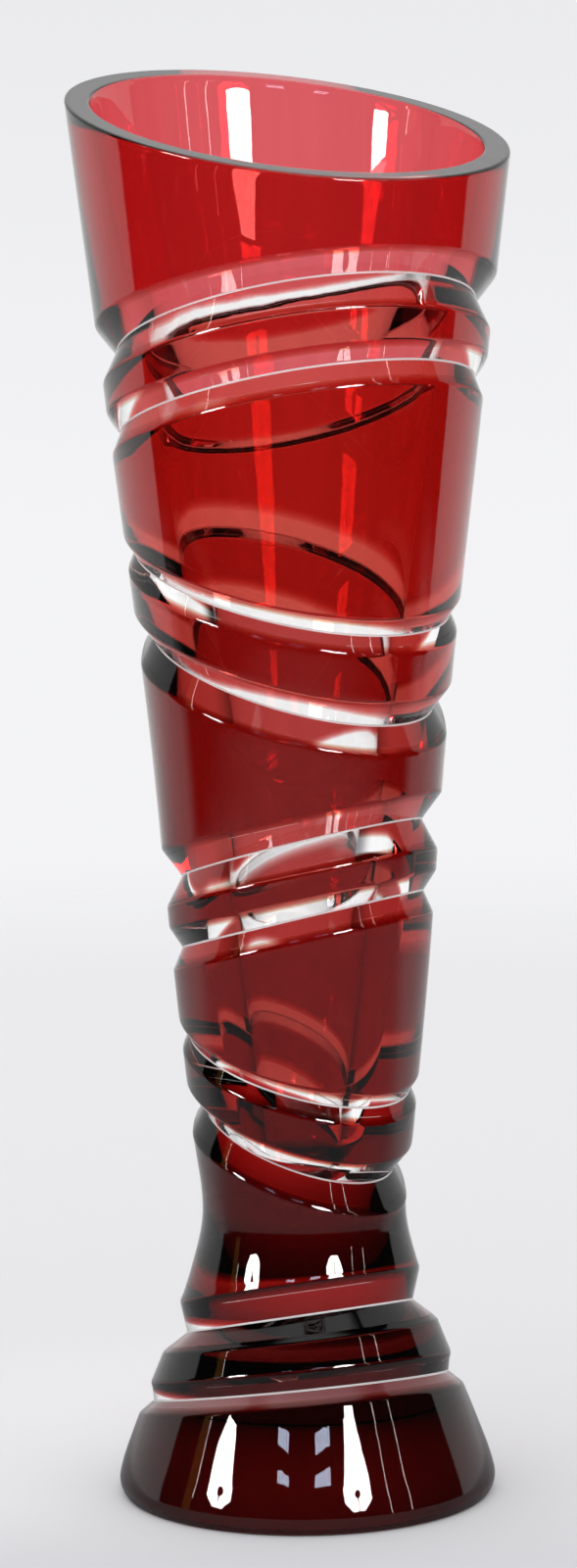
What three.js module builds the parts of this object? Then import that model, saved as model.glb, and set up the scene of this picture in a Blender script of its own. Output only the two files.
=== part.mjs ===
// Crystal bud vase in millimetres, +Z up, the centre of its ground base at the origin.
// A clear crystal body is cased in ruby glass, and ten tilted V grooves are wheel cut through the casing
// into the clear glass. They part the casing into eleven ruby rings.
import * as THREE from 'three';

// Outer face of the cased blank, as radius by height above the base
const FOOT_RADIUS = 42.4;
const FOOT_FLARE = { height: 10, radius: 38.2 };
const LOWER_FLARE = { height: 22, radius: 33.6 };
const MIDDLE_FLARE = { height: 35, radius: 28.8 };
const UPPER_FLARE = { height: 48, radius: 24.3 };
const WAIST = { height: 60, radius: 21.6 };
const ANKLE = { height: 78, radius: 23.4 };
const LOWER_CONE = { height: 110, radius: 26.7 };
const MIDDLE_CONE = { height: 165, radius: 31.4 };
const UPPER_CONE = { height: 230, radius: 39 };
const LIP = { height: 304, radius: 47.8 };

// Inner face, a tapered bore with a rounded bottom
const BORE_BOTTOM_HEIGHT = 72;
const BORE_ANKLE = { height: 110, radius: 12.2 };
const BORE_MIDDLE = { height: 150, radius: 17.4 };
const BORE_UPPER = { height: 203, radius: 24.8 };
const BORE_SHOULDER = { height: 250, radius: 33.2 };
const BORE_LIP = { height: 304, radius: 43 };

// Foot and rim
const FOOT_ROUND = 5.6;
const BASE_GRIND = 1.6;
const RIM_CUT = { height: 290.9, tilt: 10.9, heading: 131.5 };
const RIM_ARRIS = 0.45;

// Ruby casing, and the clearance that keeps its rings off the body and off the table
const CASING = 0.8;
const SEAM = 0.3;

// Wheel cuts: a broad wheel for the deep groove of each pair and a flat one for the shallow groove, as
// the angle between the flanks that they leave. The cuts are marked out along the vase, so the place of
// each is a share of the height of the rim: there the plane of its bottom crosses the axis. Then come
// the tilt of that plane, the heading towards which it rises, in degrees from +X to +Y, and how far the
// bottom lies in from the outer face.
const DEEP_WHEEL = 116;
const FLAT_WHEEL = 124;
const GROOVES = [
  { share: 0.8532, tilt: 21.2, heading: -69.2, depth: 3.9, wheel: DEEP_WHEEL },
  { share: 0.7975, tilt: 19.1, heading: -64.4, depth: 2.4, wheel: FLAT_WHEEL },
  { share: 0.6714, tilt: 14.7, heading: 143.1, depth: 2, wheel: FLAT_WHEEL },
  { share: 0.6071, tilt: 17.8, heading: 146.6, depth: 3.5, wheel: DEEP_WHEEL },
  { share: 0.4765, tilt: 17.9, heading: -44.8, depth: 3.8, wheel: DEEP_WHEEL },
  { share: 0.4242, tilt: 16.7, heading: -40.4, depth: 2.4, wheel: FLAT_WHEEL },
  { share: 0.3204, tilt: 17.7, heading: 146.6, depth: 1.8, wheel: FLAT_WHEEL },
  { share: 0.264, tilt: 22, heading: 148.1, depth: 3.4, wheel: DEEP_WHEEL },
  { share: 0.1296, tilt: 15.5, heading: -60.2, depth: 3.8, wheel: DEEP_WHEEL },
  { share: 0.077, tilt: 13, heading: -66.8, depth: 2.1, wheel: FLAT_WHEEL },
];

// The rings between the cuts, from the rim down, each with the steps of its outline
const RINGS = [
  { name: 'ruby_rim_collar', steps: 2 },
  { name: 'ruby_first_rib', steps: 1 },
  { name: 'ruby_second_band', steps: 2 },
  { name: 'ruby_second_rib', steps: 1 },
  { name: 'ruby_third_band', steps: 2 },
  { name: 'ruby_third_rib', steps: 1 },
  { name: 'ruby_fourth_band', steps: 2 },
  { name: 'ruby_fourth_rib', steps: 1 },
  { name: 'ruby_waist', steps: 5 },
  { name: 'ruby_fifth_rib', steps: 2 },
  { name: 'ruby_foot', steps: 2 },
];

// How finely the shape is stepped, and how far along a flank its edge is looked for
const SEGMENTS = 48;
const BORE_STEPS = 6;
const BORE_END_STEPS = 5;
const FOOT_ROUND_STEPS = 4;
const FLANK_REACH = 30;

// Colours and finish
const CLEAR_CRYSTAL = new THREE.MeshStandardMaterial({ color: '#dfe4e6', roughness: 0.02, metalness: 0 });
const RUBY_GLASS = new THREE.MeshStandardMaterial({ color: '#a1121f', roughness: 0.02, metalness: 0 });

const OUTER = [
  { height: 0, radius: FOOT_RADIUS },
  FOOT_FLARE, LOWER_FLARE, MIDDLE_FLARE, UPPER_FLARE, WAIST,
  ANKLE, LOWER_CONE, MIDDLE_CONE, UPPER_CONE, LIP,
];
const BORE = [BORE_ANKLE, BORE_MIDDLE, BORE_UPPER, BORE_SHOULDER, BORE_LIP];

// Slope of the outline at each station: the mean of the chords that meet there
function stationSlopes(stations) {
  const chords = [];
  for (let i = 1; i < stations.length; i += 1) {
    const rise = stations[i].height - stations[i - 1].height;
    chords.push((stations[i].radius - stations[i - 1].radius) / rise);
  }
  return stations.map((station, i) => {
    const below = chords[Math.max(i - 1, 0)];
    const above = chords[Math.min(i, chords.length - 1)];
    return (below + above) / 2;
  });
}

// A smooth outline through the stations: its radius and its slope at a height, straight past the ends
function outline(stations) {
  const slopes = stationSlopes(stations);
  const last = stations.length - 1;
  const radius = (height) => {
    if (height <= stations[0].height) {
      return stations[0].radius + slopes[0] * (height - stations[0].height);
    }
    if (height >= stations[last].height) {
      return stations[last].radius + slopes[last] * (height - stations[last].height);
    }
    const i = stations.findIndex((station) => station.height > height) - 1;
    const span = stations[i + 1].height - stations[i].height;
    const t = (height - stations[i].height) / span;
    const start = (2 * t ** 3 - 3 * t ** 2 + 1) * stations[i].radius;
    const end = (3 * t ** 2 - 2 * t ** 3) * stations[i + 1].radius;
    const leave = (t ** 3 - 2 * t ** 2 + t) * span * slopes[i];
    const arrive = (t ** 3 - t ** 2) * span * slopes[i + 1];
    return start + end + leave + arrive;
  };
  const slope = (height) => (radius(height + 0.05) - radius(height - 0.05)) / 0.1;
  return { radius, slope };
}

const outerFace = outline(OUTER);
const boreFace = outline(BORE);

// Unit directions in the section plane at a height: along the face upwards, and out of it
function directions(face, height) {
  const length = Math.hypot(1, face.slope(height));
  const along = new THREE.Vector2(face.slope(height) / length, 1 / length);
  return { along, out: new THREE.Vector2(along.y, -along.x) };
}

// The point of the outer face at a height, moved in by a depth square to the face
function outerPoint(height, depth) {
  const { out } = directions(outerFace, height);
  return new THREE.Vector2(outerFace.radius(height), height).addScaledVector(out, -depth);
}

// Rise of a tilted plane per millimetre of radius, seen at an angle round the axis
function planeRise(plane, angle) {
  const heading = THREE.MathUtils.degToRad(plane.heading);
  return Math.tan(THREE.MathUtils.degToRad(plane.tilt)) * Math.cos(angle - heading);
}

// Height where a tilted plane meets a face given as radius by height
function meetingHeight(plane, angle, radiusAt) {
  const rise = planeRise(plane, angle);
  let height = plane.height;
  for (let pass = 0; pass < 30; pass += 1) {
    height = plane.height + rise * radiusAt(height);
  }
  return height;
}

// Radius of the outer face at a height, once a skin as thick as the depth is taken off it
function skinnedRadius(height, depth) {
  return outerFace.radius(height) - depth / directions(outerFace, height).out.x;
}

// A groove in the section plane. Its flanks leave its bottom evenly on both sides of the direction square
// to the face. The answer gives the bottom, and the point where the upper (+1) or lower (-1) flank comes
// out through the face, or meets it at a depth.
function grooveAt(groove, angle) {
  const plane = { ...groove, height: groove.share * RIM_CUT.height };
  const height = meetingHeight(plane, angle, (at) => outerFace.radius(at) - groove.depth);
  const bottom = new THREE.Vector2(outerFace.radius(height) - groove.depth, height);
  const { out } = directions(outerFace, height);
  const edge = (side, depth) => {
    const turn = Math.atan2(out.y, out.x) + side * THREE.MathUtils.degToRad(groove.wheel / 2);
    const flank = new THREE.Vector2(Math.cos(turn), Math.sin(turn));
    let inside = 0;
    let outside = FLANK_REACH;
    for (let pass = 0; pass < 40; pass += 1) {
      const middle = (inside + outside) / 2;
      const point = bottom.clone().addScaledVector(flank, middle);
      if (point.x < skinnedRadius(point.y, depth)) {
        inside = middle;
      } else {
        outside = middle;
      }
    }
    return bottom.clone().addScaledVector(flank, inside);
  };
  return { bottom, edge };
}

// The rounded foot: its points at a depth, from the outer face down to a height above the base
function footRound() {
  let start = FOOT_ROUND;
  for (let pass = 0; pass < 20; pass += 1) {
    start = FOOT_ROUND * (1 + directions(outerFace, start).out.y) - BASE_GRIND;
  }
  const { out } = directions(outerFace, start);
  const centre = outerPoint(start, FOOT_ROUND);
  const points = (depth, height) => {
    const radius = FOOT_ROUND - depth;
    const first = Math.atan2(out.y, out.x);
    const end = -Math.asin((centre.y - height) / radius);
    const arc = [];
    for (let i = 0; i <= FOOT_ROUND_STEPS; i += 1) {
      const turn = first + ((end - first) * i) / FOOT_ROUND_STEPS;
      arc.push(new THREE.Vector2(centre.x + radius * Math.cos(turn), centre.y + radius * Math.sin(turn)));
    }
    return arc;
  };
  return points;
}
const footPoints = footRound();

// The rim's plane meets the outer face at a depth, or the bore
function rimPoint(angle, depth) {
  const height = meetingHeight(RIM_CUT, angle, (at) => skinnedRadius(at, depth));
  return new THREE.Vector2(skinnedRadius(height, depth), height);
}

function rimBorePoint(angle) {
  const height = meetingHeight(RIM_CUT, angle, boreFace.radius);
  return new THREE.Vector2(boreFace.radius(height), height);
}

// A polished arris: the two points that break a corner at the rim, one on the wall and one on the cut
function arris(corner, wallDirection, cutDirection) {
  return [
    corner.clone().addScaledVector(wallDirection, RIM_ARRIS),
    corner.clone().addScaledVector(cutDirection, RIM_ARRIS),
  ];
}

// Unit direction of the rim's cut in the section plane, away from the axis
function rimDirection(angle) {
  return new THREE.Vector2(1, planeRise(RIM_CUT, angle)).normalize();
}

// The outer face at a depth between two points that lie at that depth, the end points included
function faceBetween(top, bottom, depth, steps) {
  const points = [top];
  for (let i = 1; i < steps; i += 1) {
    const height = THREE.MathUtils.lerp(top.y, bottom.y, i / steps);
    const lift = depth * directions(outerFace, height).out.y;
    points.push(outerPoint(height + lift, depth));
  }
  points.push(bottom);
  return points;
}

// The stretch of ring number i at a depth, from the rim or the cut above it to the cut below it. The
// last one goes on round the foot and ends at a height above the base.
function ringFace(i, angle, depth, footHeight) {
  const top = i === 0 ? rimPoint(angle, depth) : grooveAt(GROOVES[i - 1], angle).edge(-1, depth);
  if (i < GROOVES.length) {
    return faceBetween(top, grooveAt(GROOVES[i], angle).edge(1, depth), depth, RINGS[i].steps);
  }
  const [bottom, ...round] = footPoints(depth, footHeight);
  return [...faceBetween(top, bottom, depth, RINGS[i].steps), ...round];
}

// Section of a ruby ring: its outer face down, then its inner face back up
function ringSection(i, angle) {
  const outside = ringFace(i, angle, 0, SEAM);
  const inside = ringFace(i, angle, CASING, SEAM).reverse();
  if (i === 0) {
    const downTheWall = directions(outerFace, outside[0].y).along.negate();
    const acrossTheCut = rimDirection(angle).negate();
    outside.splice(0, 1, ...arris(outside[0], downTheWall, acrossTheCut).reverse());
  }
  return [...outside, ...inside];
}

// The bore's rounded bottom: a ball that touches the taper, as its centre height, radius and last turn
function boreEnd() {
  const taper = Math.atan(boreFace.slope(BORE_ANKLE.height));
  let radius = BORE_ANKLE.radius;
  for (let pass = 0; pass < 60; pass += 1) {
    const touch = BORE_BOTTOM_HEIGHT + radius * (1 - Math.sin(taper));
    radius = boreFace.radius(touch) / Math.cos(taper);
  }
  return { centre: BORE_BOTTOM_HEIGHT + radius, radius, taper };
}
const ball = boreEnd();

// The bore from the rim down to the axis
function boreSection(angle) {
  const corner = rimBorePoint(angle);
  const downTheBore = directions(boreFace, corner.y).along.negate();
  const points = arris(corner, downTheBore, rimDirection(angle)).reverse();
  const touch = ball.centre - ball.radius * Math.sin(ball.taper);
  for (let i = 1; i < BORE_STEPS; i += 1) {
    const height = THREE.MathUtils.lerp(points[1].y, touch, i / BORE_STEPS);
    points.push(new THREE.Vector2(boreFace.radius(height), height));
  }
  for (let i = 0; i <= BORE_END_STEPS; i += 1) {
    const turn = THREE.MathUtils.lerp(ball.taper, Math.PI / 2, i / BORE_END_STEPS);
    const radius = i === BORE_END_STEPS ? 0 : ball.radius * Math.cos(turn);
    points.push(new THREE.Vector2(radius, ball.centre - ball.radius * Math.sin(turn)));
  }
  return points;
}

// Section of the clear body, from the bore's bottom up, over the rim, down the cut outside to the base
function bodySection(angle) {
  const depth = CASING + SEAM;
  const points = boreSection(angle).reverse();
  for (let i = 0; i < RINGS.length; i += 1) {
    points.push(...ringFace(i, angle, depth, 0));
    if (i < GROOVES.length) {
      points.push(grooveAt(GROOVES[i], angle).bottom);
    }
  }
  points.push(new THREE.Vector2(0, 0));
  return points;
}

// Joins sections round the axis into one closed solid. A closed section makes a ring, and an open one
// starts and ends on the axis, where its points become a single one.
function sweepRound(sectionAt, closed) {
  const sections = [];
  for (let j = 0; j < SEGMENTS; j += 1) {
    sections.push(sectionAt((2 * Math.PI * j) / SEGMENTS));
  }
  const count = sections[0].length;
  const place = (j, i) => {
    const point = sections[j % SEGMENTS][i % count];
    const angle = (2 * Math.PI * (j % SEGMENTS)) / SEGMENTS;
    return [point.x * Math.cos(angle), point.x * Math.sin(angle), point.y];
  };
  const positions = [];
  const edges = closed ? count : count - 1;
  for (let j = 0; j < SEGMENTS; j += 1) {
    for (let i = 0; i < edges; i += 1) {
      const corners = [place(j, i), place(j + 1, i), place(j + 1, i + 1), place(j, i + 1)];
      const startsOnAxis = !closed && i === 0;
      const endsOnAxis = !closed && i === edges - 1;
      if (!startsOnAxis) {
        positions.push(...corners[0], ...corners[2], ...corners[1]);
      }
      if (!endsOnAxis) {
        positions.push(...corners[0], ...corners[3], ...corners[2]);
      }
    }
  }
  const geometry = new THREE.BufferGeometry();
  geometry.setAttribute('position', new THREE.Float32BufferAttribute(positions, 3));
  geometry.computeVertexNormals();
  return geometry;
}

function namedMesh(name, geometry, material) {
  const mesh = new THREE.Mesh(geometry, material);
  mesh.name = name;
  return mesh;
}

const vase = new THREE.Group();
vase.name = 'crystal_bud_vase';
vase.add(namedMesh('crystal_body', sweepRound(bodySection, false), CLEAR_CRYSTAL));
RINGS.forEach((ring, i) => {
  const geometry = sweepRound((angle) => ringSection(i, angle), true);
  vase.add(namedMesh(ring.name, geometry, RUBY_GLASS));
});

export default vase;
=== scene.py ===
# %% [markdown]
# # A cased and cut crystal bud vase
#
# The vase is clear crystal with a thin skin of ruby glass on its outside. A cutter then ground ten
# tilted V grooves through the skin into the clear glass, in five pairs, and polished them. The
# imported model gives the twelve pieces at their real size. This lesson makes the same pieces again
# with rounded edges and smooth faces, and gives them glass that bends and filters light as cased
# crystal does.

# %% The frame
import math

import bpy
import numpy as np
from mathutils import Matrix, Vector


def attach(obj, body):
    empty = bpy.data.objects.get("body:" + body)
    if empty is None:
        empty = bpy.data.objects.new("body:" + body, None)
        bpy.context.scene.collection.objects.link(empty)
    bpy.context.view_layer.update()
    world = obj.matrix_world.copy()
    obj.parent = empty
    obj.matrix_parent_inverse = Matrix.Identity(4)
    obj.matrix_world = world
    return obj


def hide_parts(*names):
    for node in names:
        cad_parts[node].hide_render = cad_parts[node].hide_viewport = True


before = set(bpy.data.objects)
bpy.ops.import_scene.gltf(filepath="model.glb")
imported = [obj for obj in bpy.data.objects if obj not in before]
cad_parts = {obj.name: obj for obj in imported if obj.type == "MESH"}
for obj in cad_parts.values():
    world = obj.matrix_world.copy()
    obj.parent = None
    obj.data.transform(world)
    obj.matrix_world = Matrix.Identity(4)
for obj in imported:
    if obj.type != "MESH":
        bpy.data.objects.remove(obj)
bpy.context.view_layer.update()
MM = 0.001
scene = bpy.context.scene
scene.view_settings.view_transform = "Standard"


# %% [markdown]
# ## Camera
#
# The ellipses of the rim and the foot give the photograph's angle: the lens stands a metre and a
# half away and looks down by a little under ten degrees. A long lens keeps the sides of the vase
# nearly parallel.

# %% Camera
FRAME_HEIGHT_PX = 1600
FOCAL_PX = 7277
SENSOR_HEIGHT = 24
DISTANCE = 1.5
LOOK_DOWN = math.radians(9.566)
LEAN = math.radians(-0.717)
MIDDLE = Vector((0, 0, 0.15))
AIM_LEFT = 0.00223
AIM_UP = 0.00225
NEAREST_SEEN = 0.05

forward = Vector((0, math.cos(LOOK_DOWN), -math.sin(LOOK_DOWN)))
level_right = Vector((1, 0, 0))
level_up = level_right.cross(forward)
right = level_right * math.cos(LEAN) + level_up * math.sin(LEAN)
up = level_up * math.cos(LEAN) - level_right * math.sin(LEAN)
eye = MIDDLE - forward * DISTANCE
aim = (MIDDLE - right * AIM_LEFT + up * AIM_UP - eye).normalized()
right = (right - aim * right.dot(aim)).normalized()
up = right.cross(aim)

lens = bpy.data.cameras.new("vase_camera")
lens.sensor_fit = "VERTICAL"
lens.sensor_height = SENSOR_HEIGHT
lens.lens = FOCAL_PX / FRAME_HEIGHT_PX * SENSOR_HEIGHT
lens.clip_start = NEAREST_SEEN
camera = bpy.data.objects.new("vase_camera", lens)
scene.collection.objects.link(camera)
turn = Matrix((right, up, -aim)).transposed()
camera.matrix_world = Matrix.Translation(eye) @ turn.to_4x4()
scene.camera = camera
print("lens:", round(lens.lens, 1), "mm")

# %% [markdown]
# ## How far light may travel in the glass
#
# A ray that enters thick crystal turns round inside it many times before it leaves. If it is
# stopped early it turns black, so the scene allows many more turns than Blender's default.

# %% Light paths
GLASS_TURNS = 40
JOINT_CROSSINGS = 64
scene.cycles.max_bounces = GLASS_TURNS
scene.cycles.transmission_bounces = GLASS_TURNS
scene.cycles.glossy_bounces = GLASS_TURNS
scene.cycles.transparent_max_bounces = JOINT_CROSSINGS
scene.cycles.volume_bounces = 0

# %% [markdown]
# ## A small kit for shader nodes
#
# Each helper adds one node and wires what it is given, either a number or another node's output.
# That keeps the recipes for the studio and the glasses short. The two at the end read the count of
# turns that light has made so far.


# %% Shader node helpers
class Shading:
    """Adds nodes to one tree, the world's or a material's."""

    MIX_SOCKETS = (0, 6, 7)

    def __init__(self, tree):
        self.tree = tree
        tree.nodes.clear()

    def feed(self, socket, value):
        if isinstance(value, bpy.types.NodeSocket):
            self.tree.links.new(value, socket)
        else:
            socket.default_value = value

    def node(self, kind, inputs=None, **settings):
        made = self.tree.nodes.new(kind)
        for name, value in settings.items():
            setattr(made, name, value)
        for name, value in (inputs or {}).items():
            self.feed(made.inputs[name], value)
        return made

    def math(self, operation, first, second=0.0):
        made = self.node("ShaderNodeMath", {0: first, 1: second}, operation=operation)
        return made.outputs[0]

    def between(self, value, low, high):
        """0 below low, 1 above high, and a smooth rise from one to the other."""
        limits = {"From Min": low, "From Max": high, "To Min": 0.0, "To Max": 1.0}
        made = self.node(
            "ShaderNodeMapRange", {"Value": value, **limits}, interpolation_type="SMOOTHSTEP"
        )
        return made.outputs[0]

    def mix(self, factor, first, second, blend="MIX"):
        made = self.node("ShaderNodeMix", data_type="RGBA", blend_type=blend)
        for number, value in zip(self.MIX_SOCKETS, (factor, first, second)):
            self.feed(made.inputs[number], value)
        return made.outputs[2]

    def none_yet(self, turns):
        """1 while a count of turns is still 0, and 0 from the first turn on."""
        return self.math("LESS_THAN", turns, 0.5)

    def straight_through(self, path):
        """1 for a ray that passes on through glass and has met no mirror on its way."""
        no_mirror = self.none_yet(path["Glossy Depth"])
        return self.math("MULTIPLY", no_mirror, path["Is Transmission Ray"])


def grey(value, blue=0.0):
    """A grey, with a touch of blue where the photograph's white is cool."""
    return (value, value, value + blue, 1.0)


# %% [markdown]
# ## The studio
#
# Glass has no look of its own: it shows the room. A white sweep of paper stands behind the vase and
# is brightest straight behind it, and the room in front is dark. Both are painted on the world by
# direction. The lens sees the sweep at the brightness it has in the photograph, and the floor is
# lit evenly from all round. Light that comes straight through without meeting a mirror finds the
# sweep on every side, so the vase also glows when it is seen from behind.

# %% World
SWEEP_LOW = grey(0.81, 0.015)
SWEEP_MIDDLE = grey(0.90, 0.015)
SWEEP_HIGH = grey(0.83, 0.02)
SWEEP_IN_GLASS = grey(1.08)
SIDE_IN_GLASS = grey(0.82)
LOW_SIDE_ON_GLASS = grey(0.88)
HIGH_SIDE_ON_GLASS = grey(0.6)
BEHIND_ON_GLASS = grey(0.85)
CEILING = grey(0.8)
ROOM = grey(0.02)
ON_FLOOR = grey(1.15)
SWEEP_LEFT = -102.0
SWEEP_RIGHT = 108.5
EDGE_SOFT = 1.0

# Elevations in degrees over which one tone passes into the next
LOW_TO_MIDDLE = (-14.5, -11.0)
MIDDLE_TO_HIGH = (-8.0, -2.5)
LOW_TO_HIGH_SIDE = (-10.0, -3.0)
WALL_TO_CEILING = (63.0, 72.0)

# The same, in degrees away from straight in front
SIDE_TO_SWEEP = (112.0, 152.0)
SIDE_TO_FRONT = (75.0, 45.0)
SIDE_TO_BEHIND = (150.0, 172.0)

world = bpy.data.worlds.new("studio")
scene.world = world
world.use_nodes = True
sky = Shading(world.node_tree)
direction = sky.node("ShaderNodeTexCoord").outputs["Generated"]
split = sky.node("ShaderNodeSeparateXYZ", {0: direction})
toward = sky.math("MULTIPLY", split.outputs["Y"], -1.0)
azimuth = sky.math("DEGREES", sky.math("ARCTAN2", split.outputs["X"], toward))
elevation = sky.math("DEGREES", sky.math("ARCSINE", split.outputs["Z"]))

past_left = sky.between(azimuth, SWEEP_LEFT + EDGE_SOFT, SWEEP_LEFT - EDGE_SOFT)
past_right = sky.between(azimuth, SWEEP_RIGHT - EDGE_SOFT, SWEEP_RIGHT + EDGE_SOFT)
behind = sky.math("MAXIMUM", past_left, past_right)
sweep_seen = sky.mix(sky.between(elevation, *LOW_TO_MIDDLE), SWEEP_LOW, SWEEP_MIDDLE)
sweep_seen = sky.mix(sky.between(elevation, *MIDDLE_TO_HIGH), sweep_seen, SWEEP_HIGH)

from_front = sky.math("ABSOLUTE", azimuth)
past_side = sky.between(from_front, *SIDE_TO_SWEEP)
before_side = sky.between(from_front, *SIDE_TO_FRONT)
beyond = sky.math("MAXIMUM", past_side, before_side)
through = sky.mix(beyond, SIDE_IN_GLASS, SWEEP_IN_GLASS)
high = sky.between(elevation, *LOW_TO_HIGH_SIDE)
mirrored = sky.mix(high, LOW_SIDE_ON_GLASS, HIGH_SIDE_ON_GLASS)
mirrored = sky.mix(sky.between(from_front, *SIDE_TO_BEHIND), mirrored, BEHIND_ON_GLASS)

path = sky.node("ShaderNodeLightPath").outputs
sweep_lit = sky.mix(path["Is Transmission Ray"], mirrored, through)
bright = sky.math("MAXIMUM", behind, sky.straight_through(path))
in_glass = sky.mix(bright, ROOM, sweep_lit)
in_glass = sky.mix(sky.between(elevation, *WALL_TO_CEILING), in_glass, CEILING)

sharp = sky.math("MAXIMUM", path["Is Glossy Ray"], path["Is Transmission Ray"])
from_glass = sky.math("MULTIPLY", sharp, sky.none_yet(path["Diffuse Depth"]))
shown = sky.mix(from_glass, ON_FLOOR, in_glass)
shown = sky.mix(path["Is Camera Ray"], shown, sweep_seen)
background = sky.node("ShaderNodeBackground", {"Color": shown, "Strength": 1.0})
sky.node("ShaderNodeOutputWorld", {"Surface": background.outputs[0]})

# %% [markdown]
# ## Lamps and windows
#
# Two white umbrellas stand in front of the vase, one on each side, each an octagon with its lamp
# and stand dark against it. The room has a few windows, a wooden door and its bright edges. Their
# reflections on the inner wall, the waist and the foot agree only when they stand at a real
# distance, so they are panels and not part of the painted room. Only the glass sees them.

# %% Lamps
LAMP_LIGHT = (30.0, 30.0, 30.0)
WINDOW_LIGHT = (8.0, 9.0, 11.5)
DOOR_LIGHT = (0.5, 0.22, 0.06)
EDGE_LIGHT = (9.0, 8.5, 8.0)
UMBRELLA_DISTANCE = 1.3
UMBRELLAS = (
    {"name": "left_umbrella", "radius": 0.203, "azimuth": -57, "height": 0.41},
    {"name": "right_umbrella", "radius": 0.222, "azimuth": 31.5, "height": 0.478},
)
LAMP_HEAD_RADIUS = 0.048
STAND_WIDTH = 0.012
UNSEEN_BY = ("camera", "diffuse", "shadow", "volume_scatter")


def stage_mesh(name, points, faces):
    """A thing of the studio, which is no part of the vase."""
    mesh = bpy.data.meshes.new(name)
    mesh.from_pydata(points, [], faces)
    staged = bpy.data.objects.new(name, mesh)
    scene.collection.objects.link(staged)
    return staged


def glowing(name, light):
    """A material that only gives light."""
    material = bpy.data.materials.new(name)
    material.use_nodes = True
    made = Shading(material.node_tree)
    glow = made.node("ShaderNodeEmission", {"Color": (*light, 1.0), "Strength": 1.0})
    made.node("ShaderNodeOutputMaterial", {"Surface": glow.outputs[0]})
    return material


def facing_vase(staged, azimuth, distance, height, light):
    """Puts a flat thing in the room, upright, and lets only the glass see it."""
    around = math.radians(azimuth)
    staged.location = (distance * math.sin(around), -distance * math.cos(around), height)
    staged.rotation_euler.z = around
    for ray in UNSEEN_BY:
        setattr(staged, "visible_" + ray, False)
    staged.data.materials.append(light)


def octagon(radius):
    """Eight corners with a flat side on top, from the lowest left round to the lowest right."""
    eighth = math.pi / 4
    turns = [-math.pi / 2 - eighth / 2 - eighth * step for step in range(8)]
    return [(radius * math.cos(turn), 0.0, radius * math.sin(turn)) for turn in turns]


def umbrella(name, radius):
    """An octagon with a hole for the lamp head and a slit below it for the stand."""
    half = STAND_WIDTH / 2
    outer, hole = octagon(radius), octagon(LAMP_HEAD_RADIUS)
    low, top = outer[0][2], hole[0][2]
    outer = [(-half, 0.0, low), *outer, (half, 0.0, low)]
    hole = [(-half, 0.0, top), *hole, (half, 0.0, top)]
    count = len(outer)
    faces = [(i, i + 1, count + i + 1, count + i) for i in range(count - 1)]
    return stage_mesh(name, outer + hole, faces)


lamp_light = glowing("lamp_light", LAMP_LIGHT)
for lamp in UMBRELLAS:
    white = umbrella(lamp["name"], lamp["radius"])
    facing_vase(white, lamp["azimuth"], UMBRELLA_DISTANCE, lamp["height"], lamp_light)


# %% Windows and door
WINDOWS = (
    {"name": "left_low_window", "azimuth": -16.5, "low": 24.7, "high": 25.7, "width": 8},
    {"name": "left_high_window", "azimuth": -17.6, "low": 26.6, "high": 28.0, "width": 8},
    {"name": "right_low_window", "azimuth": 9.9, "low": 24.8, "high": 25.9, "width": 11},
    {"name": "right_high_window", "azimuth": 11.1, "low": 26.8, "high": 28.2, "width": 11},
)
DOORS = ({"name": "door", "azimuth": -79, "low": -2, "high": 40, "width": 6},)
EDGES = (
    {"name": "door_edge", "azimuth": -75.3, "low": 10, "high": 40, "width": 0.7},
    {"name": "near_edge", "azimuth": 52, "low": 5, "high": 34, "width": 0.7},
    {"name": "far_edge", "azimuth": 66, "low": 5, "high": 34, "width": 0.7},
)
ROOM_DEPTH = 4.0
PANE = 1.5
BAR = 0.06


def opening(place):
    """A row of upright panes with bars between them, all in degrees as seen from the vase."""
    width = place["width"]
    strips = max(1, round(width / PANE))
    bottom, top = (ROOM_DEPTH * math.tan(math.radians(place[end])) for end in ("low", "high"))
    points, faces = [], []
    for strip in range(strips):
        left = math.radians(width * ((strip + BAR) / strips - 0.5))
        right = math.radians(width * ((strip + 1 - BAR) / strips - 0.5))
        corners = ((left, bottom), (right, bottom), (right, top), (left, top))
        faces.append(tuple(range(len(points), len(points) + 4)))
        points += [(ROOM_DEPTH * math.tan(across), 0.0, level) for across, level in corners]
    return stage_mesh(place["name"], points, faces)


for places, light_name, light in (
    (WINDOWS, "window_light", WINDOW_LIGHT),
    (DOORS, "door_light", DOOR_LIGHT),
    (EDGES, "edge_light", EDGE_LIGHT),
):
    shining = glowing(light_name, light)
    for place in places:
        facing_vase(opening(place), place["azimuth"], ROOM_DEPTH, 0.0, shining)
print("openings:", len(WINDOWS), "windows,", len(DOORS), "door,", len(EDGES), "edges")

# %% [markdown]
# ## The floor
#
# The vase stands on a pale sheet. The sheet is a disc that fades into the backdrop towards its rim,
# so no edge of it shows from any side, and the shadow stays under the foot. Its colour holds a
# painted shadow, darker in front of the vase and on its right and lighter on its left. A hair of
# air under the base keeps the base a mirror from inside, as on a real table. What the glass
# reflects of the sheet falls off away from the vase, as it does in the photograph. The glass sees
# its own tones of the sheet, which are painted light and shade: shade round the foot and in front,
# light behind.

# %% Floor
FLOOR_RADIUS = 0.9
FLOOR_RINGS = 24
FLOOR_STEPS = 96
AIR_UNDER_BASE = 0.0002
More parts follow.
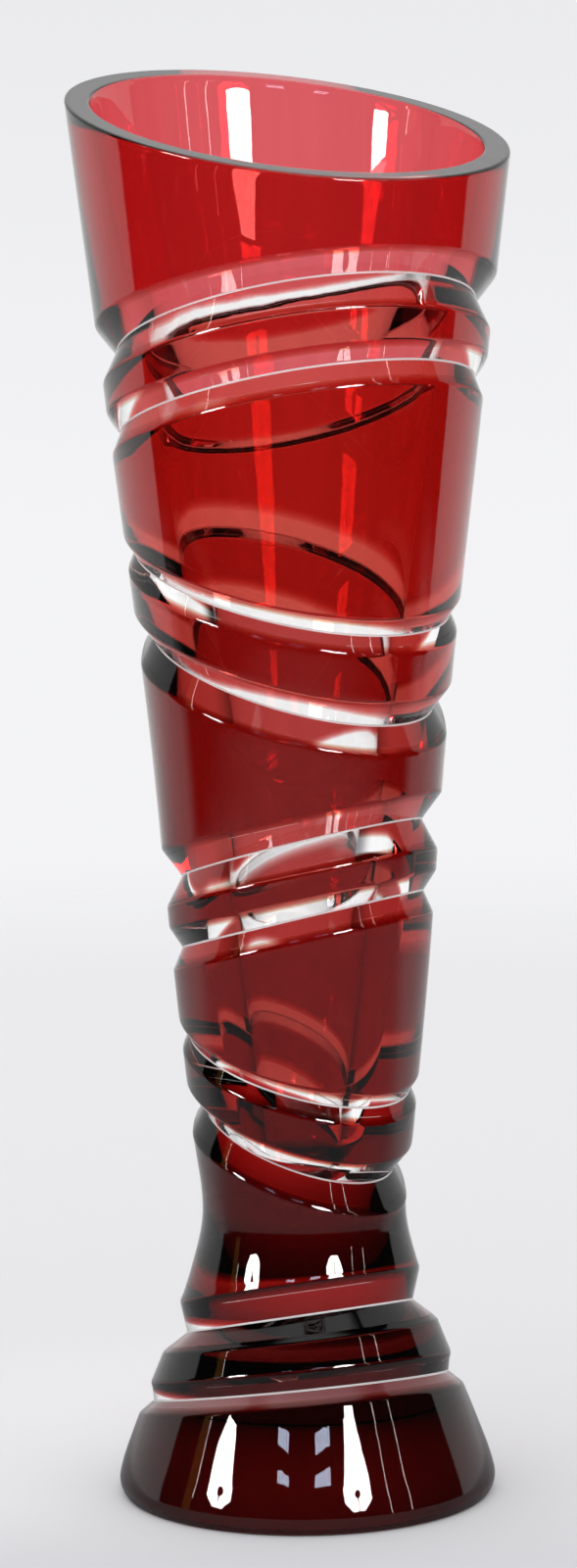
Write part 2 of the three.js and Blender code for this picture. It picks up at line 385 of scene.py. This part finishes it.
# The sheet's colour as the lens sees it holds a painted shadow: darker in front of the vase and on
# its right, lighter on its left.
FLOOR_FRONT_PAINTED_SHADOW = grey(0.655, 0.025)
FLOOR_LEFT_PAINTED_LIGHT = grey(0.785, 0.02)
FLOOR_RIGHT_PAINTED_SHADE = grey(0.725, 0.02)
FLOOR_BEHIND = grey(0.725, 0.015)
# What the glass sees of the sheet is painted light and shade: painted shade round the foot, a
# painted shadow in front that goes dark past half a metre, and painted light behind, dimmer where
# the glass mirrors it than where light comes through.
FLOOR_SHADED = grey(0.3, 0.01)
FLOOR_PAINTED_SHADE_NEAR_FRONT = grey(0.26, 0.01)
FLOOR_LIT = grey(0.93, 0.01)
FLOOR_PAINTED_IN_MIRROR = grey(0.52, 0.01)
FLOOR_PAINTED_UNLIT_FAR = grey(0.03)

# Metres to the right, to the back or away from the middle, over which one tone passes into the next
LEFT_TO_RIGHT = (-0.06, 0.06)
FRONT_TO_BESIDE = (-0.07, 0.0)
FRONT_TO_LIT = (-0.02, 0.12)
SHADE_TO_OPEN = (0.05, 0.19)
BESIDE_TO_BEHIND = (0.08, 0.18)
FRONT_TO_DARK = (0.46, 0.53)
SHEET_TO_BACKDROP = (0.55, 0.8)


def disc(radius, rings, steps):
    """Corners and faces of a flat disc round the origin."""
    points = [(0.0, 0.0, 0.0)]
    for ring in range(1, rings + 1):
        for step in range(steps):
            angle = 2 * math.pi * step / steps
            reach = radius * ring / rings
            points.append((reach * math.cos(angle), reach * math.sin(angle), 0.0))
    faces = [(0, 1 + step, 1 + (step + 1) % steps) for step in range(steps)]
    for ring in range(rings - 1):
        inner, outer = 1 + ring * steps, 1 + (ring + 1) * steps
        for step in range(steps):
            after = (step + 1) % steps
            faces.append((inner + step, outer + step, outer + after, inner + after))
    return points, faces


floor = stage_mesh("pale_floor", *disc(FLOOR_RADIUS, FLOOR_RINGS, FLOOR_STEPS))
floor.location.z = -AIR_UNDER_BASE

paper = bpy.data.materials.new("pale_paper")
paper.use_nodes = True
sheet = Shading(paper.node_tree)
spot = sheet.node("ShaderNodeTexCoord").outputs["Object"]
across = sheet.node("ShaderNodeSeparateXYZ", {0: spot}).outputs
distance = sheet.node("ShaderNodeVectorMath", {0: spot}, operation="LENGTH").outputs["Value"]
# Painted shadow in the sheet's colour: darker in front and on the right of the vase, lighter on its
# left, even from about 18 cm out.
painted_left_and_right = sheet.mix(sheet.between(across["X"], *LEFT_TO_RIGHT), FLOOR_LEFT_PAINTED_LIGHT, FLOOR_RIGHT_PAINTED_SHADE)
seen_painted_shadow = sheet.mix(sheet.between(across["Y"], *FRONT_TO_BESIDE), FLOOR_FRONT_PAINTED_SHADOW, painted_left_and_right)
seen_painted_shadow = sheet.mix(sheet.between(distance, *BESIDE_TO_BEHIND), seen_painted_shadow, FLOOR_BEHIND)

# Painted light and shade for the glass: shade near the foot and in front, light behind and straight
# through.
floor_path = sheet.node("ShaderNodeLightPath").outputs
lit_tone = sheet.mix(floor_path["Is Transmission Ray"], FLOOR_PAINTED_IN_MIRROR, FLOOR_LIT)
front_painted_shade = sheet.mix(sheet.between(distance, *FRONT_TO_DARK), FLOOR_PAINTED_SHADE_NEAR_FRONT, FLOOR_PAINTED_UNLIT_FAR)
from_behind = sheet.between(across["Y"], *FRONT_TO_LIT)
lit_here = sheet.math("MAXIMUM", from_behind, sheet.straight_through(floor_path))
painted_light_for_glass = sheet.mix(lit_here, front_painted_shade, lit_tone)
painted_light_for_glass = sheet.mix(sheet.between(distance, *SHADE_TO_OPEN), FLOOR_SHADED, painted_light_for_glass)

tone = sheet.mix(floor_path["Is Camera Ray"], painted_light_for_glass, seen_painted_shadow)
matt = sheet.node("ShaderNodeBsdfDiffuse", {"Color": tone})
nothing = sheet.node("ShaderNodeBsdfTransparent")
fade = sheet.between(distance, *SHEET_TO_BACKDROP)
both = sheet.node("ShaderNodeMixShader", {0: fade, 1: matt.outputs[0], 2: nothing.outputs[0]})
sheet.node("ShaderNodeOutputMaterial", {"Surface": both.outputs[0]})
floor.data.materials.append(paper)

# %% [markdown]
# ## The blank: outer face and bore
#
# Before it was cut the vase was a plain blown shape: a flared foot, a narrow waist and a long cone.
# A few stations of height and radius carry a smooth curve, and the bore inside is drawn the same
# way. The foot is a touch convex, which keeps the windows and the lamps apart where they are
# mirrored in it. All sizes of the vase are in millimetres up to the sweep.

# %% Outlines
OUTER_STATIONS = (
    (0, 40.6), (3, 40.15), (4.5, 39.85), (6, 39.47), (7.4, 39.05), (8.9, 38.55), (10.3, 38.03),
    (14, 36.65), (20, 34.36), (26, 32), (35, 28.7), (48, 24.3), (60, 21.65), (78, 23.42),
    (110, 26.7), (165, 31.4), (230, 39), (304, 47.8),
)
BORE_STATIONS = (
    (110, 12.2), (150, 17.4), (203, 24.8), (250, 32.84), (262, 35.48), (270, 37.12),
    (279, 38.72), (291, 40.64), (304, 42.6),
)
WAIST = 60


class Outline:
    """A smooth radius by height through stations, straight past both ends."""

    def __init__(self, stations):
        self.heights, self.radii = (np.array(column, float) for column in zip(*stations))
        chords = np.diff(self.radii) / np.diff(self.heights)
        between = (chords[:-1] + chords[1:]) / 2
        self.slopes = np.concatenate([chords[:1], between, chords[-1:]])

    def radius(self, height):
        height = np.asarray(height, float)
        last = len(self.heights) - 1
        low = np.clip(np.searchsorted(self.heights, height) - 1, 0, last - 1)
        span = self.heights[low + 1] - self.heights[low]
        t = (np.clip(height, self.heights[0], self.heights[last]) - self.heights[low]) / span
        inside = (2 * t**3 - 3 * t**2 + 1) * self.radii[low]
        inside = inside + (3 * t**2 - 2 * t**3) * self.radii[low + 1]
        inside = inside + (t**3 - 2 * t**2 + t) * span * self.slopes[low]
        inside = inside + (t**3 - t**2) * span * self.slopes[low + 1]
        below = np.minimum(height - self.heights[0], 0) * self.slopes[0]
        above = np.maximum(height - self.heights[last], 0) * self.slopes[last]
        return inside + below + above

    def slope(self, height):
        step = 0.05
        return (self.radius(height + step) - self.radius(height - step)) / (2 * step)


outer_face = Outline(OUTER_STATIONS)
bore_face = Outline(BORE_STATIONS)
print("waist radius:", round(float(outer_face.radius(WAIST)), 1), "mm")

# %% [markdown]
# ## The wheel cuts
#
# Each groove is a V left by a wheel while the blank was held askew, so its bottom lies in a tilted
# plane. In a section through the axis it is enough to find the bottom and the two places where the
# flanks come out. Round the back, where the photograph shows a cut only through the glass, five
# cuts are a little shallower, narrower, turned or moved, so that their images fall where the
# photograph has them.

# %% Grooves
RIM = {"height": 290.9, "tilt": 10.9, "heading": 131.5}
DEEP_WHEEL = 116
FLAT_WHEEL = 124
GROOVES = (
    {"share": 0.8532, "tilt": 21.2, "heading": -69.2, "depth": 3.9, "wheel": DEEP_WHEEL},
    {"share": 0.7975, "tilt": 19.1, "heading": -64.4, "depth": 2.4, "wheel": FLAT_WHEEL},
    {"share": 0.6714, "tilt": 14.7, "heading": 143.1, "depth": 2.0, "wheel": FLAT_WHEEL},
    {"share": 0.6071, "tilt": 17.8, "heading": 146.6, "depth": 3.5, "wheel": DEEP_WHEEL},
    {"share": 0.4765, "tilt": 17.9, "heading": -44.8, "depth": 3.8, "wheel": DEEP_WHEEL},
    {"share": 0.4242, "tilt": 16.7, "heading": -40.4, "depth": 2.4, "wheel": FLAT_WHEEL},
    {"share": 0.3204, "tilt": 17.7, "heading": 146.6, "depth": 1.8, "wheel": FLAT_WHEEL},
    {"share": 0.2640, "tilt": 22.0, "heading": 148.1, "depth": 3.4, "wheel": DEEP_WHEEL},
    {"share": 0.1296, "tilt": 15.5, "heading": -60.2, "depth": 3.8, "wheel": DEEP_WHEEL},
    {"share": 0.0770, "tilt": 13.0, "heading": -66.8, "depth": 2.1, "wheel": FLAT_WHEEL},
)
BACKS = {
    1: {"depth": 1.7, "wheel": 85, "lean": 7.5, "lift": -1.0},
    2: {"lean": 10, "lift": -1.0},
    3: {"depth": 2.2, "lean": 12, "lift": 0.7},
    5: {"depth": 1.3, "lean": -14, "lift": 0.5},
    7: {"depth": 2.8, "lean": 10},
}
HEIGHT_TRIES = 30
EDGE_HALVINGS = 40
FARTHEST_EDGE = 30.0
SEGMENTS = 180
angles = np.arange(SEGMENTS) * 2 * math.pi / SEGMENTS
nearness = (1 - np.sin(angles)) / 2
BACK_FROM = 0.6
backness = np.clip(np.sin(angles) / BACK_FROM, 0, 1)
backness = backness * backness * (3 - 2 * backness)


def point(radius, height):
    """A place in every section at once, as an array of (radius, height) rows."""
    radius, height = np.broadcast_arrays(radius, height)
    full = np.zeros((SEGMENTS, 2))
    full[:, 0], full[:, 1] = radius, height
    return full


def meeting_height(plane_height, tilt, heading, radius_at):
    """Where a tilted plane meets a face, in every section."""
    rise = math.tan(math.radians(tilt)) * np.cos(angles - math.radians(heading))
    height = np.full(SEGMENTS, float(plane_height))
    for _ in range(HEIGHT_TRIES):
        height = plane_height + rise * radius_at(height)
    return height


def square_turn(height):
    """Angle of the direction square to the outer face."""
    return -np.arctan(outer_face.slope(height))


def skinned(height, depth):
    """Radius of the outer face once a skin is taken off it."""
    return outer_face.radius(height) - depth / np.cos(square_turn(height))


def round_the_vase(number, key):
    """A value of a cut in every section, and how it changes round the back."""
    usual = GROOVES[number].get(key, 0.0)
    return usual + (BACKS.get(number, {}).get(key, usual) - usual) * backness


def groove_bottom(number):
    """The bottom of a cut in every section."""
    groove = GROOVES[number]
    depth = round_the_vase(number, "depth")
    crossing = groove["share"] * RIM["height"]
    height = meeting_height(
        crossing, groove["tilt"], groove["heading"], lambda at: outer_face.radius(at) - depth
    )
    height = height + round_the_vase(number, "lift")
    return point(outer_face.radius(height) - depth, height)


def flank_direction(number, side):
    """Which way the upper (+1) or lower (-1) flank leaves the bottom of a cut."""
    half_angle = round_the_vase(number, "wheel") / 2
    turn = square_turn(groove_bottom(number)[:, 1])
    turn = turn + np.radians(side * half_angle + round_the_vase(number, "lean"))
    return point(np.cos(turn), np.sin(turn))


def groove_edge(number, side, depth):
    """Where the upper (+1) or lower (-1) flank meets the outer face, or the face at a depth."""
    bottom, flank = groove_bottom(number), flank_direction(number, side)
    inside, outside = np.zeros(SEGMENTS), np.full(SEGMENTS, FARTHEST_EDGE)
    for _ in range(EDGE_HALVINGS):
        middle = (inside + outside) / 2
        place = bottom + flank * middle[:, None]
        short = place[:, 0] < skinned(place[:, 1], depth)
        inside, outside = np.where(short, middle, inside), np.where(short, outside, middle)
    return bottom + flank * inside[:, None]


# %% [markdown]
# ## Soft edges
#
# Polishing leaves no edge sharp. A corner of a section becomes a short curve that leaves one side
# and arrives on the other without a kink, and it is these curves that catch the thin bright lines.

# %% Soft edges
EDGE_REACH = 0.55
EDGE_STEPS = 5
VALLEY_REACH = 0.26
VALLEY_STEPS = 4
RIM_REACH = 0.7


def unit(rows):
    """Directions made one long."""
    return rows / np.linalg.norm(rows, axis=1, keepdims=True)


def softened(corner, before, after, reach, steps):
    """Points of a curve in place of a corner, from the side of before to the side of after."""
    start = corner + unit(before - corner) * reach
    end = corner + unit(after - corner) * reach
    curve = []
    for step in range(steps + 1):
        t = step / steps
        curve.append(start * (1 - t) ** 2 + corner * 2 * t * (1 - t) + end * t**2)
    return curve


def face_between(top, bottom, depth, steps, radius_at=None):
    """Points of a face strictly between two of its points."""
    rows = []
    for step in range(1, steps):
        height = top[:, 1] + (bottom[:, 1] - top[:, 1]) * step / steps
        radius = skinned(height, depth) if radius_at is None else radius_at(height)
        rows.append(point(radius, height))
    return rows


# %% [markdown]
# ## Sweeping a section round the axis
#
# A section is a list of points, each given for every angle, with marks for the face that follows
# it. The first is 1 where glass meets air and 0 where the casing and the body are fused. Light must
# pass a fused face as if nothing were there, because both glasses bend it alike. The second says
# how much polish the face lacks: the line at the bottom of a cut, which no polishing wheel reaches,
# and the ground base. A third, how near the face lies to the front, comes from its angle alone.


# %% Sweep
LARGE_FACES_FIRST = 100


class Section:
    """The points of a section with the marks of its faces."""

    def __init__(self):
        self.rows, self.air, self.dull = [], [], []

    def add(self, rows, air=1.0, dull=0.0):
        rows = rows if isinstance(rows, list) else [rows]
        self.rows += rows
        self.air += [air] * len(rows)
        self.dull += [dull] * len(rows)


def sweep(name, section, closed):
    """Turns a section round the axis: a ring if closed, else a solid that ends on the axis."""
    count = len(section.rows)
    grid = np.stack(section.rows, axis=1) * MM
    radius, height = grid[:, :, 0], grid[:, :, 1]
    cos, sin = np.cos(angles)[:, None], np.sin(angles)[:, None]
    places = np.stack([radius * cos, radius * sin, height], axis=-1)
    if closed:
        vertices = places.reshape(-1, 3)
        index = np.arange(SEGMENTS * count).reshape(SEGMENTS, count)
    else:
        around = places[:, 1:-1].reshape(-1, 3)
        vertices = np.concatenate([around, places[0, :1], places[0, -1:]])
        index = np.zeros((SEGMENTS, count), int)
        index[:, 1:-1] = np.arange(SEGMENTS * (count - 2)).reshape(SEGMENTS, count - 2)
        index[:, 0], index[:, -1] = len(vertices) - 2, len(vertices) - 1
    faces, marks, dulls, near = [], [], [], []
    for j in range(SEGMENTS):
        here, there = index[j], index[(j + 1) % SEGMENTS]
        for i in range(count if closed else count - 1):
            k = (i + 1) % count
            corners = [here[i], here[k], there[k], there[i]]
            corners = [int(c) for n, c in enumerate(corners) if c != corners[n - 1]]
            faces.append(corners)
            marks.append(section.air[i])
            dulls.append(section.dull[i])
            near.append(nearness[j])
    mesh = bpy.data.meshes.new(name)
    mesh.from_pydata(vertices.tolist(), [], faces)
    for mark, values in (("air_side", marks), ("dull", dulls), ("near_side", near)):
        mesh.attributes.new(mark, "FLOAT", "FACE").data.foreach_set("value", values)
    mesh.shade_smooth()
    sharpen_joints(mesh, marks)
    mesh.update()
    piece = bpy.data.objects.new(name, mesh)
    scene.collection.objects.link(piece)
    even = piece.modifiers.new("even_shading", "WEIGHTED_NORMAL")
    even.keep_sharp = True
    even.weight = LARGE_FACES_FIRST
    print(name, len(mesh.polygons), "faces")
    return piece


def sharpen_joints(mesh, marks):
    """Edges between a face in air and a fused face stay sharp."""
    seen = {}
    sharp = np.zeros(len(mesh.edges), bool)
    for face in mesh.polygons:
        for edge in face.loop_indices:
            number = mesh.loops[edge].edge_index
            mark = marks[face.index]
            if seen.setdefault(number, mark) != mark:
                sharp[number] = True
    mesh.attributes.new("sharp_edge", "BOOLEAN", "EDGE").data.foreach_set("value", sharp)


# %% [markdown]
# ## The foot and the rim
#
# The foot's lower edge is a generous round that ends at the ground base. The rim is one tilted flat
# cut, with both of its edges broken by the polisher.

# %% Foot and rim
CASING = 0.8
JOINT = 0.02
UNDER_CASING = CASING + JOINT
UNPOLISHED = 1.0
FOOT_ROUND = 4.6
BASE_GRIND = 1.6
FOOT_STEPS = 12
FOOT_TRIES = 20
BORE_BOTTOM = 72
BORE_STEPS = 40
LIP_HEIGHT = 3.0
LIP_FLARE = 0.25
LIP_STEPS = 8
BORE_END_STEPS = 14
BALL_TRIES = 60


def foot_round(depth, lowest):
    """The round of the foot at a depth below its face, from the outer face down to a height."""
    start = FOOT_ROUND
    for _ in range(FOOT_TRIES):
        start = FOOT_ROUND * (1 + math.sin(float(square_turn(start)))) - BASE_GRIND
    turn = float(square_turn(start))
    centre_radius = float(outer_face.radius(start)) - FOOT_ROUND * math.cos(turn)
    centre_height = start - FOOT_ROUND * math.sin(turn)
    radius = FOOT_ROUND - depth
    end = -math.asin((centre_height - lowest) / radius)
    rows = []
    for step in range(FOOT_STEPS + 1):
        here = turn + (end - turn) * step / FOOT_STEPS
        out, rise = radius * math.cos(here), radius * math.sin(here)
        rows.append(point(centre_radius + out, centre_height + rise))
    return rows


def rim_height(radius_at):
    """Where the slanted cut of the rim meets a face."""
    return meeting_height(RIM["height"], RIM["tilt"], RIM["heading"], radius_at)


def rim_corner(depth):
    """The outer edge of the rim, or the place below it at a depth in the glass."""
    height = rim_height(lambda at: skinned(at, depth))
    return point(skinned(height, depth), height)


def lip_radius(height, top):
    """The bore opens a little faster over the last few millimetres below its top."""
    near_top = np.clip(1 - (top - height) / LIP_HEIGHT, 0, 1)
    return bore_face.radius(height) + LIP_FLARE * near_top**2


def bore_corner():
    """The inner edge of the rim."""
    height = rim_height(bore_face.radius)
    return point(lip_radius(height, height), height)


# %% [markdown]
# ## The ruby casing
#
# Ten cuts part the skin into eleven rings. Each ring's section runs down its outer face, round the
# soft edge, along the strip of ruby that the cut laid bare, and back up where it is fused to the
# body. The fifth rib leans a little towards the front, so that it mirrors the same part of the room
# as in the photograph.

# %% Ruby rings
RING_NAMES = (
    "ruby_rim_collar",
    "ruby_first_rib",
    "ruby_second_band",
    "ruby_second_rib",
    "ruby_third_band",
    "ruby_third_rib",
    "ruby_fourth_band",
    "ruby_fourth_rib",
    "ruby_waist",
    "ruby_fifth_rib",
    "ruby_foot",
)
FACE_STEPS = {"ruby_rim_collar": 10, "ruby_waist": 24, "ruby_fifth_rib": 10, "ruby_foot": 10}
USUAL_FACE_STEPS = 8
SKIN_LIFT = 0.05
FACE_LEAN = {"ruby_fifth_rib": 3.5}


def ring_section(number):
    """The section of a ring, which lies between the cut before it and the cut of its own number."""
    section = Section()
    steps = FACE_STEPS.get(RING_NAMES[number], USUAL_FACE_STEPS)
    if number == 0:
        top, top_joint = rim_corner(0), rim_corner(CASING)
        reach = RIM_REACH
    else:
        above = number - 1
        top, top_joint = groove_edge(above, -1, 0), groove_edge(above, -1, CASING)
        reach = EDGE_REACH
    if number < len(GROOVES):
        bottom, bottom_joint = groove_edge(number, 1, 0), groove_edge(number, 1, CASING)
        closing = softened(bottom, top, bottom_joint, EDGE_REACH, EDGE_STEPS)
        inner_end = [bottom_joint]
    else:
        closing = foot_round(0, SKIN_LIFT)
        bottom = closing[0]
        inner_end = foot_round(CASING, SKIN_LIFT)[::-1]
    section.add(softened(top, top_joint, bottom, reach, EDGE_STEPS))
    section.add(face_between(section.rows[-1], closing[0], 0, steps))
    section.add(closing)
    lean = math.tan(math.radians(FACE_LEAN.get(RING_NAMES[number], 0))) * nearness
    for row in section.rows:
        row[:, 0] += lean * ((top[:, 1] + bottom[:, 1]) / 2 - row[:, 1])
    section.add(inner_end, air=0.0)
    section.add(face_between(inner_end[-1], top_joint, CASING, steps), air=0.0)
    section.add(top_joint)
    return section


rings = [sweep(name, ring_section(number), True) for number, name in enumerate(RING_NAMES)]

# %% [markdown]
# ## The clear body
#
# One section holds the whole crystal: up the bore, over the rim, down under each ring of casing and
# through each groove to the base. The bottom of the bore is a ball that touches the taper.


# %% Crystal body
def bore_end():
    """Height of the centre and radius of the ball that ends the bore, and the taper there."""
    lowest, radius = BORE_STATIONS[0]
    taper = math.atan(float(bore_face.slope(lowest)))
    for _ in range(BALL_TRIES):
        touch = BORE_BOTTOM + radius * (1 - math.sin(taper))
        radius = float(bore_face.radius(touch)) / math.cos(taper)
    return BORE_BOTTOM + radius, radius, taper


def bore_rows():
    """The bore from its lowest point up to the rim, with the soft inner edge of the lip."""
    rows = []
    centre, radius, taper = bore_end()
    for step in range(BORE_END_STEPS + 1):
        here = math.pi / 2 + (taper - math.pi / 2) * step / BORE_END_STEPS
        reach = radius * math.cos(here) if step else 0.0
        rows.append(point(reach, centre - radius * math.sin(here)))
    corner, touch = bore_corner(), rows[-1]
    top = corner[:, 1]
    lip_foot = point(bore_face.radius(top - LIP_HEIGHT), top - LIP_HEIGHT)
    lip = softened(corner, touch, rim_corner(UNDER_CASING), RIM_REACH, EDGE_STEPS)
    rows += face_between(touch, lip_foot, 0, BORE_STEPS, bore_face.radius)
    rows.append(lip_foot)
    rows += face_between(lip_foot, lip[0], 0, LIP_STEPS, lambda height: lip_radius(height, top))
    return rows + lip


def body_section():
    """The section of the whole crystal, from the lowest point of the bore round to the base."""
    section = Section()
    section.add(bore_rows())
    top_joint = rim_corner(UNDER_CASING)
    for number, name in enumerate(RING_NAMES):
        steps = FACE_STEPS.get(name, USUAL_FACE_STEPS)
        section.add(top_joint, air=0.0)
        if number == len(GROOVES):
            break
        above = groove_edge(number, 1, UNDER_CASING)
        below = groove_edge(number, -1, UNDER_CASING)
        section.add(face_between(top_joint, above, UNDER_CASING, steps), air=0.0)
        section.add(above)
        valley = softened(groove_bottom(number), above, below, VALLEY_REACH, VALLEY_STEPS)
        section.add(valley[:-1], dull=UNPOLISHED)
        section.add(valley[-1])
        top_joint = below
    heel = foot_round(UNDER_CASING, 0)
    section.add(face_between(top_joint, heel[0], UNDER_CASING, steps), air=0.0)
    section.add(heel[:-1], air=0.0)
    section.add(heel[-1], dull=UNPOLISHED)
    section.add(point(0, 0))
    return section


body = sweep("crystal_body", body_section(), False)

# %% [markdown]
# ## Clear crystal
#
# Lead crystal bends light more than window glass. Its cut faces are polished almost perfectly, so
# the only textures are a faint unevenness and the upright cords that blowing leaves. Where the body
# is fused to the casing its surface is switched off, and where polish is missing it scatters light
# and looks white. The casing that runs down to the base colours the last millimetre of both
# glasses.

# %% Clear crystal
CRYSTAL_IOR = 1.54
BROAD = {"Scale": 60.0, "Detail": 2.0}
CORDS = {"Scale": 220.0, "Detail": 3.0}
FINE = {"Scale": 900.0, "Detail": 3.0}
CORD_STRETCH = (1.0, 1.0, 0.04)
CORD_TONES = (0.35, 0.7)
CORD_SHARE = 0.3
WAVINESS = {"Strength": 0.2, "Distance": 0.0002}
POLISH_TONES = (0.3, 0.7)
POLISH_ROUGHNESS = 0.012
DULL_ROUGHNESS = 0.4
DULL_WHITE = 0.6
BASE_TINT = (0.7, 0.22, 0.24, 1.0)
BASE_TINT_LEVELS = (0.0012, 0.0004)
UNTINTED = grey(1.0)


def face_mark(made, name):
    """A mark that the sweep left on every face."""
    kind = {"attribute_type": "GEOMETRY", "attribute_name": name}
    return made.node("ShaderNodeAttribute", **kind).outputs["Fac"]


def grain(made, vector, kind):
    """Noise of one kind, 0 to 1."""
    return made.node("ShaderNodeTexNoise", {"Vector": vector, **kind}).outputs["Fac"]


def glass(name, cord_tint, near_tint, absorption=None):
    """Glass with faint cords and all the marks of its finish, and coloured inside if asked."""
    material = bpy.data.materials.new(name)
    material.use_nodes = True
    made = Shading(material.node_tree)
    spot = made.node("ShaderNodeTexCoord").outputs["Object"]
    level = made.node("ShaderNodeSeparateXYZ", {0: spot}).outputs["Z"]
    upright = made.node("ShaderNodeMapping", {"Vector": spot, "Scale": CORD_STRETCH}).outputs[0]
    broad = grain(made, spot, BROAD)
    cords = grain(made, upright, CORDS)
    fine = grain(made, spot, FINE)
    dull = face_mark(made, "dull")

    colour = made.mix(made.between(cords, *CORD_TONES), UNTINTED, cord_tint)
    colour = made.mix(face_mark(made, "near_side"), colour, near_tint, "MULTIPLY")
    at_base = made.between(level, *BASE_TINT_LEVELS)
    colour = made.mix(at_base, colour, BASE_TINT, "MULTIPLY")
    polish = made.math("MULTIPLY", made.between(fine, *POLISH_TONES), POLISH_ROUGHNESS)
    rough = made.math("ADD", polish, made.math("MULTIPLY", dull, DULL_ROUGHNESS))
    white = made.math("MULTIPLY", made.math("MULTIPLY", dull, dull), DULL_WHITE)
    height = made.math("ADD", broad, made.math("MULTIPLY", cords, CORD_SHARE))
    bump = made.node("ShaderNodeBump", {"Height": height, **WAVINESS})
    surface = made.node(
        "ShaderNodeBsdfPrincipled",
        {
            "Base Color": colour,
            "Roughness": rough,
            "Normal": bump.outputs[0],
            "Alpha": face_mark(made, "air_side"),
            "Transmission Weight": made.math("SUBTRACT", 1.0, white),
            "IOR": CRYSTAL_IOR,
        },
    )
    output = made.node("ShaderNodeOutputMaterial", {"Surface": surface.outputs[0]})
    if absorption:
        inside = made.node("ShaderNodeVolumeAbsorption", absorption)
        made.tree.links.new(inside.outputs[0], output.inputs["Volume"])
    return material


clear_crystal = glass("clear_crystal", grey(0.97), UNTINTED)

# %% [markdown]
# ## Ruby glass
#
# The skin is under a millimetre thick and colours light by its depth: one pass leaves pink-red, two
# leave deep red, and light that runs along inside the skin comes out nearly black. The colour
# gathers towards the foot, where the hot casing ran thick, so every ring gets its own strength by
# its height. A camera makes such steps stronger than they are, so the near side is tinted once
# more.

# %% Ruby glass
DEPTH_HEIGHTS = (12, 30, 57, 85, 108, 131, 157, 186, 213, 240, 270)
RED_DEPTH = (1.7, 1.68, 1.27, 0.9, 0.81, 0.78, 0.75, 0.58, 0.43, 0.36, 0.33)
GREEN_DEPTH = (5.0, 5.0, 4.8, 4.2, 3.14, 2.89, 2.84, 2.74, 2.46, 2.26, 2.2)
BLUE_DEPTH = (5.0, 5.0, 4.9, 4.3, 3.2, 2.95, 2.9, 2.8, 2.55, 2.22, 2.05)
NEAR_SKIN = (0.8, 0.8, 0.5, 1.0)


def ruby(name, height):
    """Ruby glass that takes away each colour by its depth in one straight pass through the skin."""
    depths = (RED_DEPTH, GREEN_DEPTH, BLUE_DEPTH)
    passed = [float(np.interp(height, DEPTH_HEIGHTS, depth)) for depth in depths]
    density = max(passed)
    colour = [1 - depth / density for depth in passed]
    inside = {"Color": (*colour, 1.0), "Density": density / (CASING * MM)}
    print(name, "lets through", [round(math.exp(-depth), 2) for depth in passed])
    return glass(name, grey(0.93), NEAR_SKIN, inside)


# %% [markdown]
# ## Putting the pieces on the frame
#
# Every piece rides on the one body of the part and stands for the node of the same name. The body
# gets clear crystal and each ring a ruby glass of its own, made for its height. The node has its
# name already, so Blender added a number to the name of the new piece, and that comes off first.

# %% Ride and replace
for piece in [body, *rings]:
    is_body = piece is body
    node = piece.name.removesuffix(".001")
    levels = [corner[2] for corner in piece.bound_box]
    middle = sum(levels) / len(levels) / MM
    piece.data.materials.append(clear_crystal if is_body else ruby(node + "_glass", middle))
    piece.name = node + "_glass"
    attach(piece, "root")
    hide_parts(node)
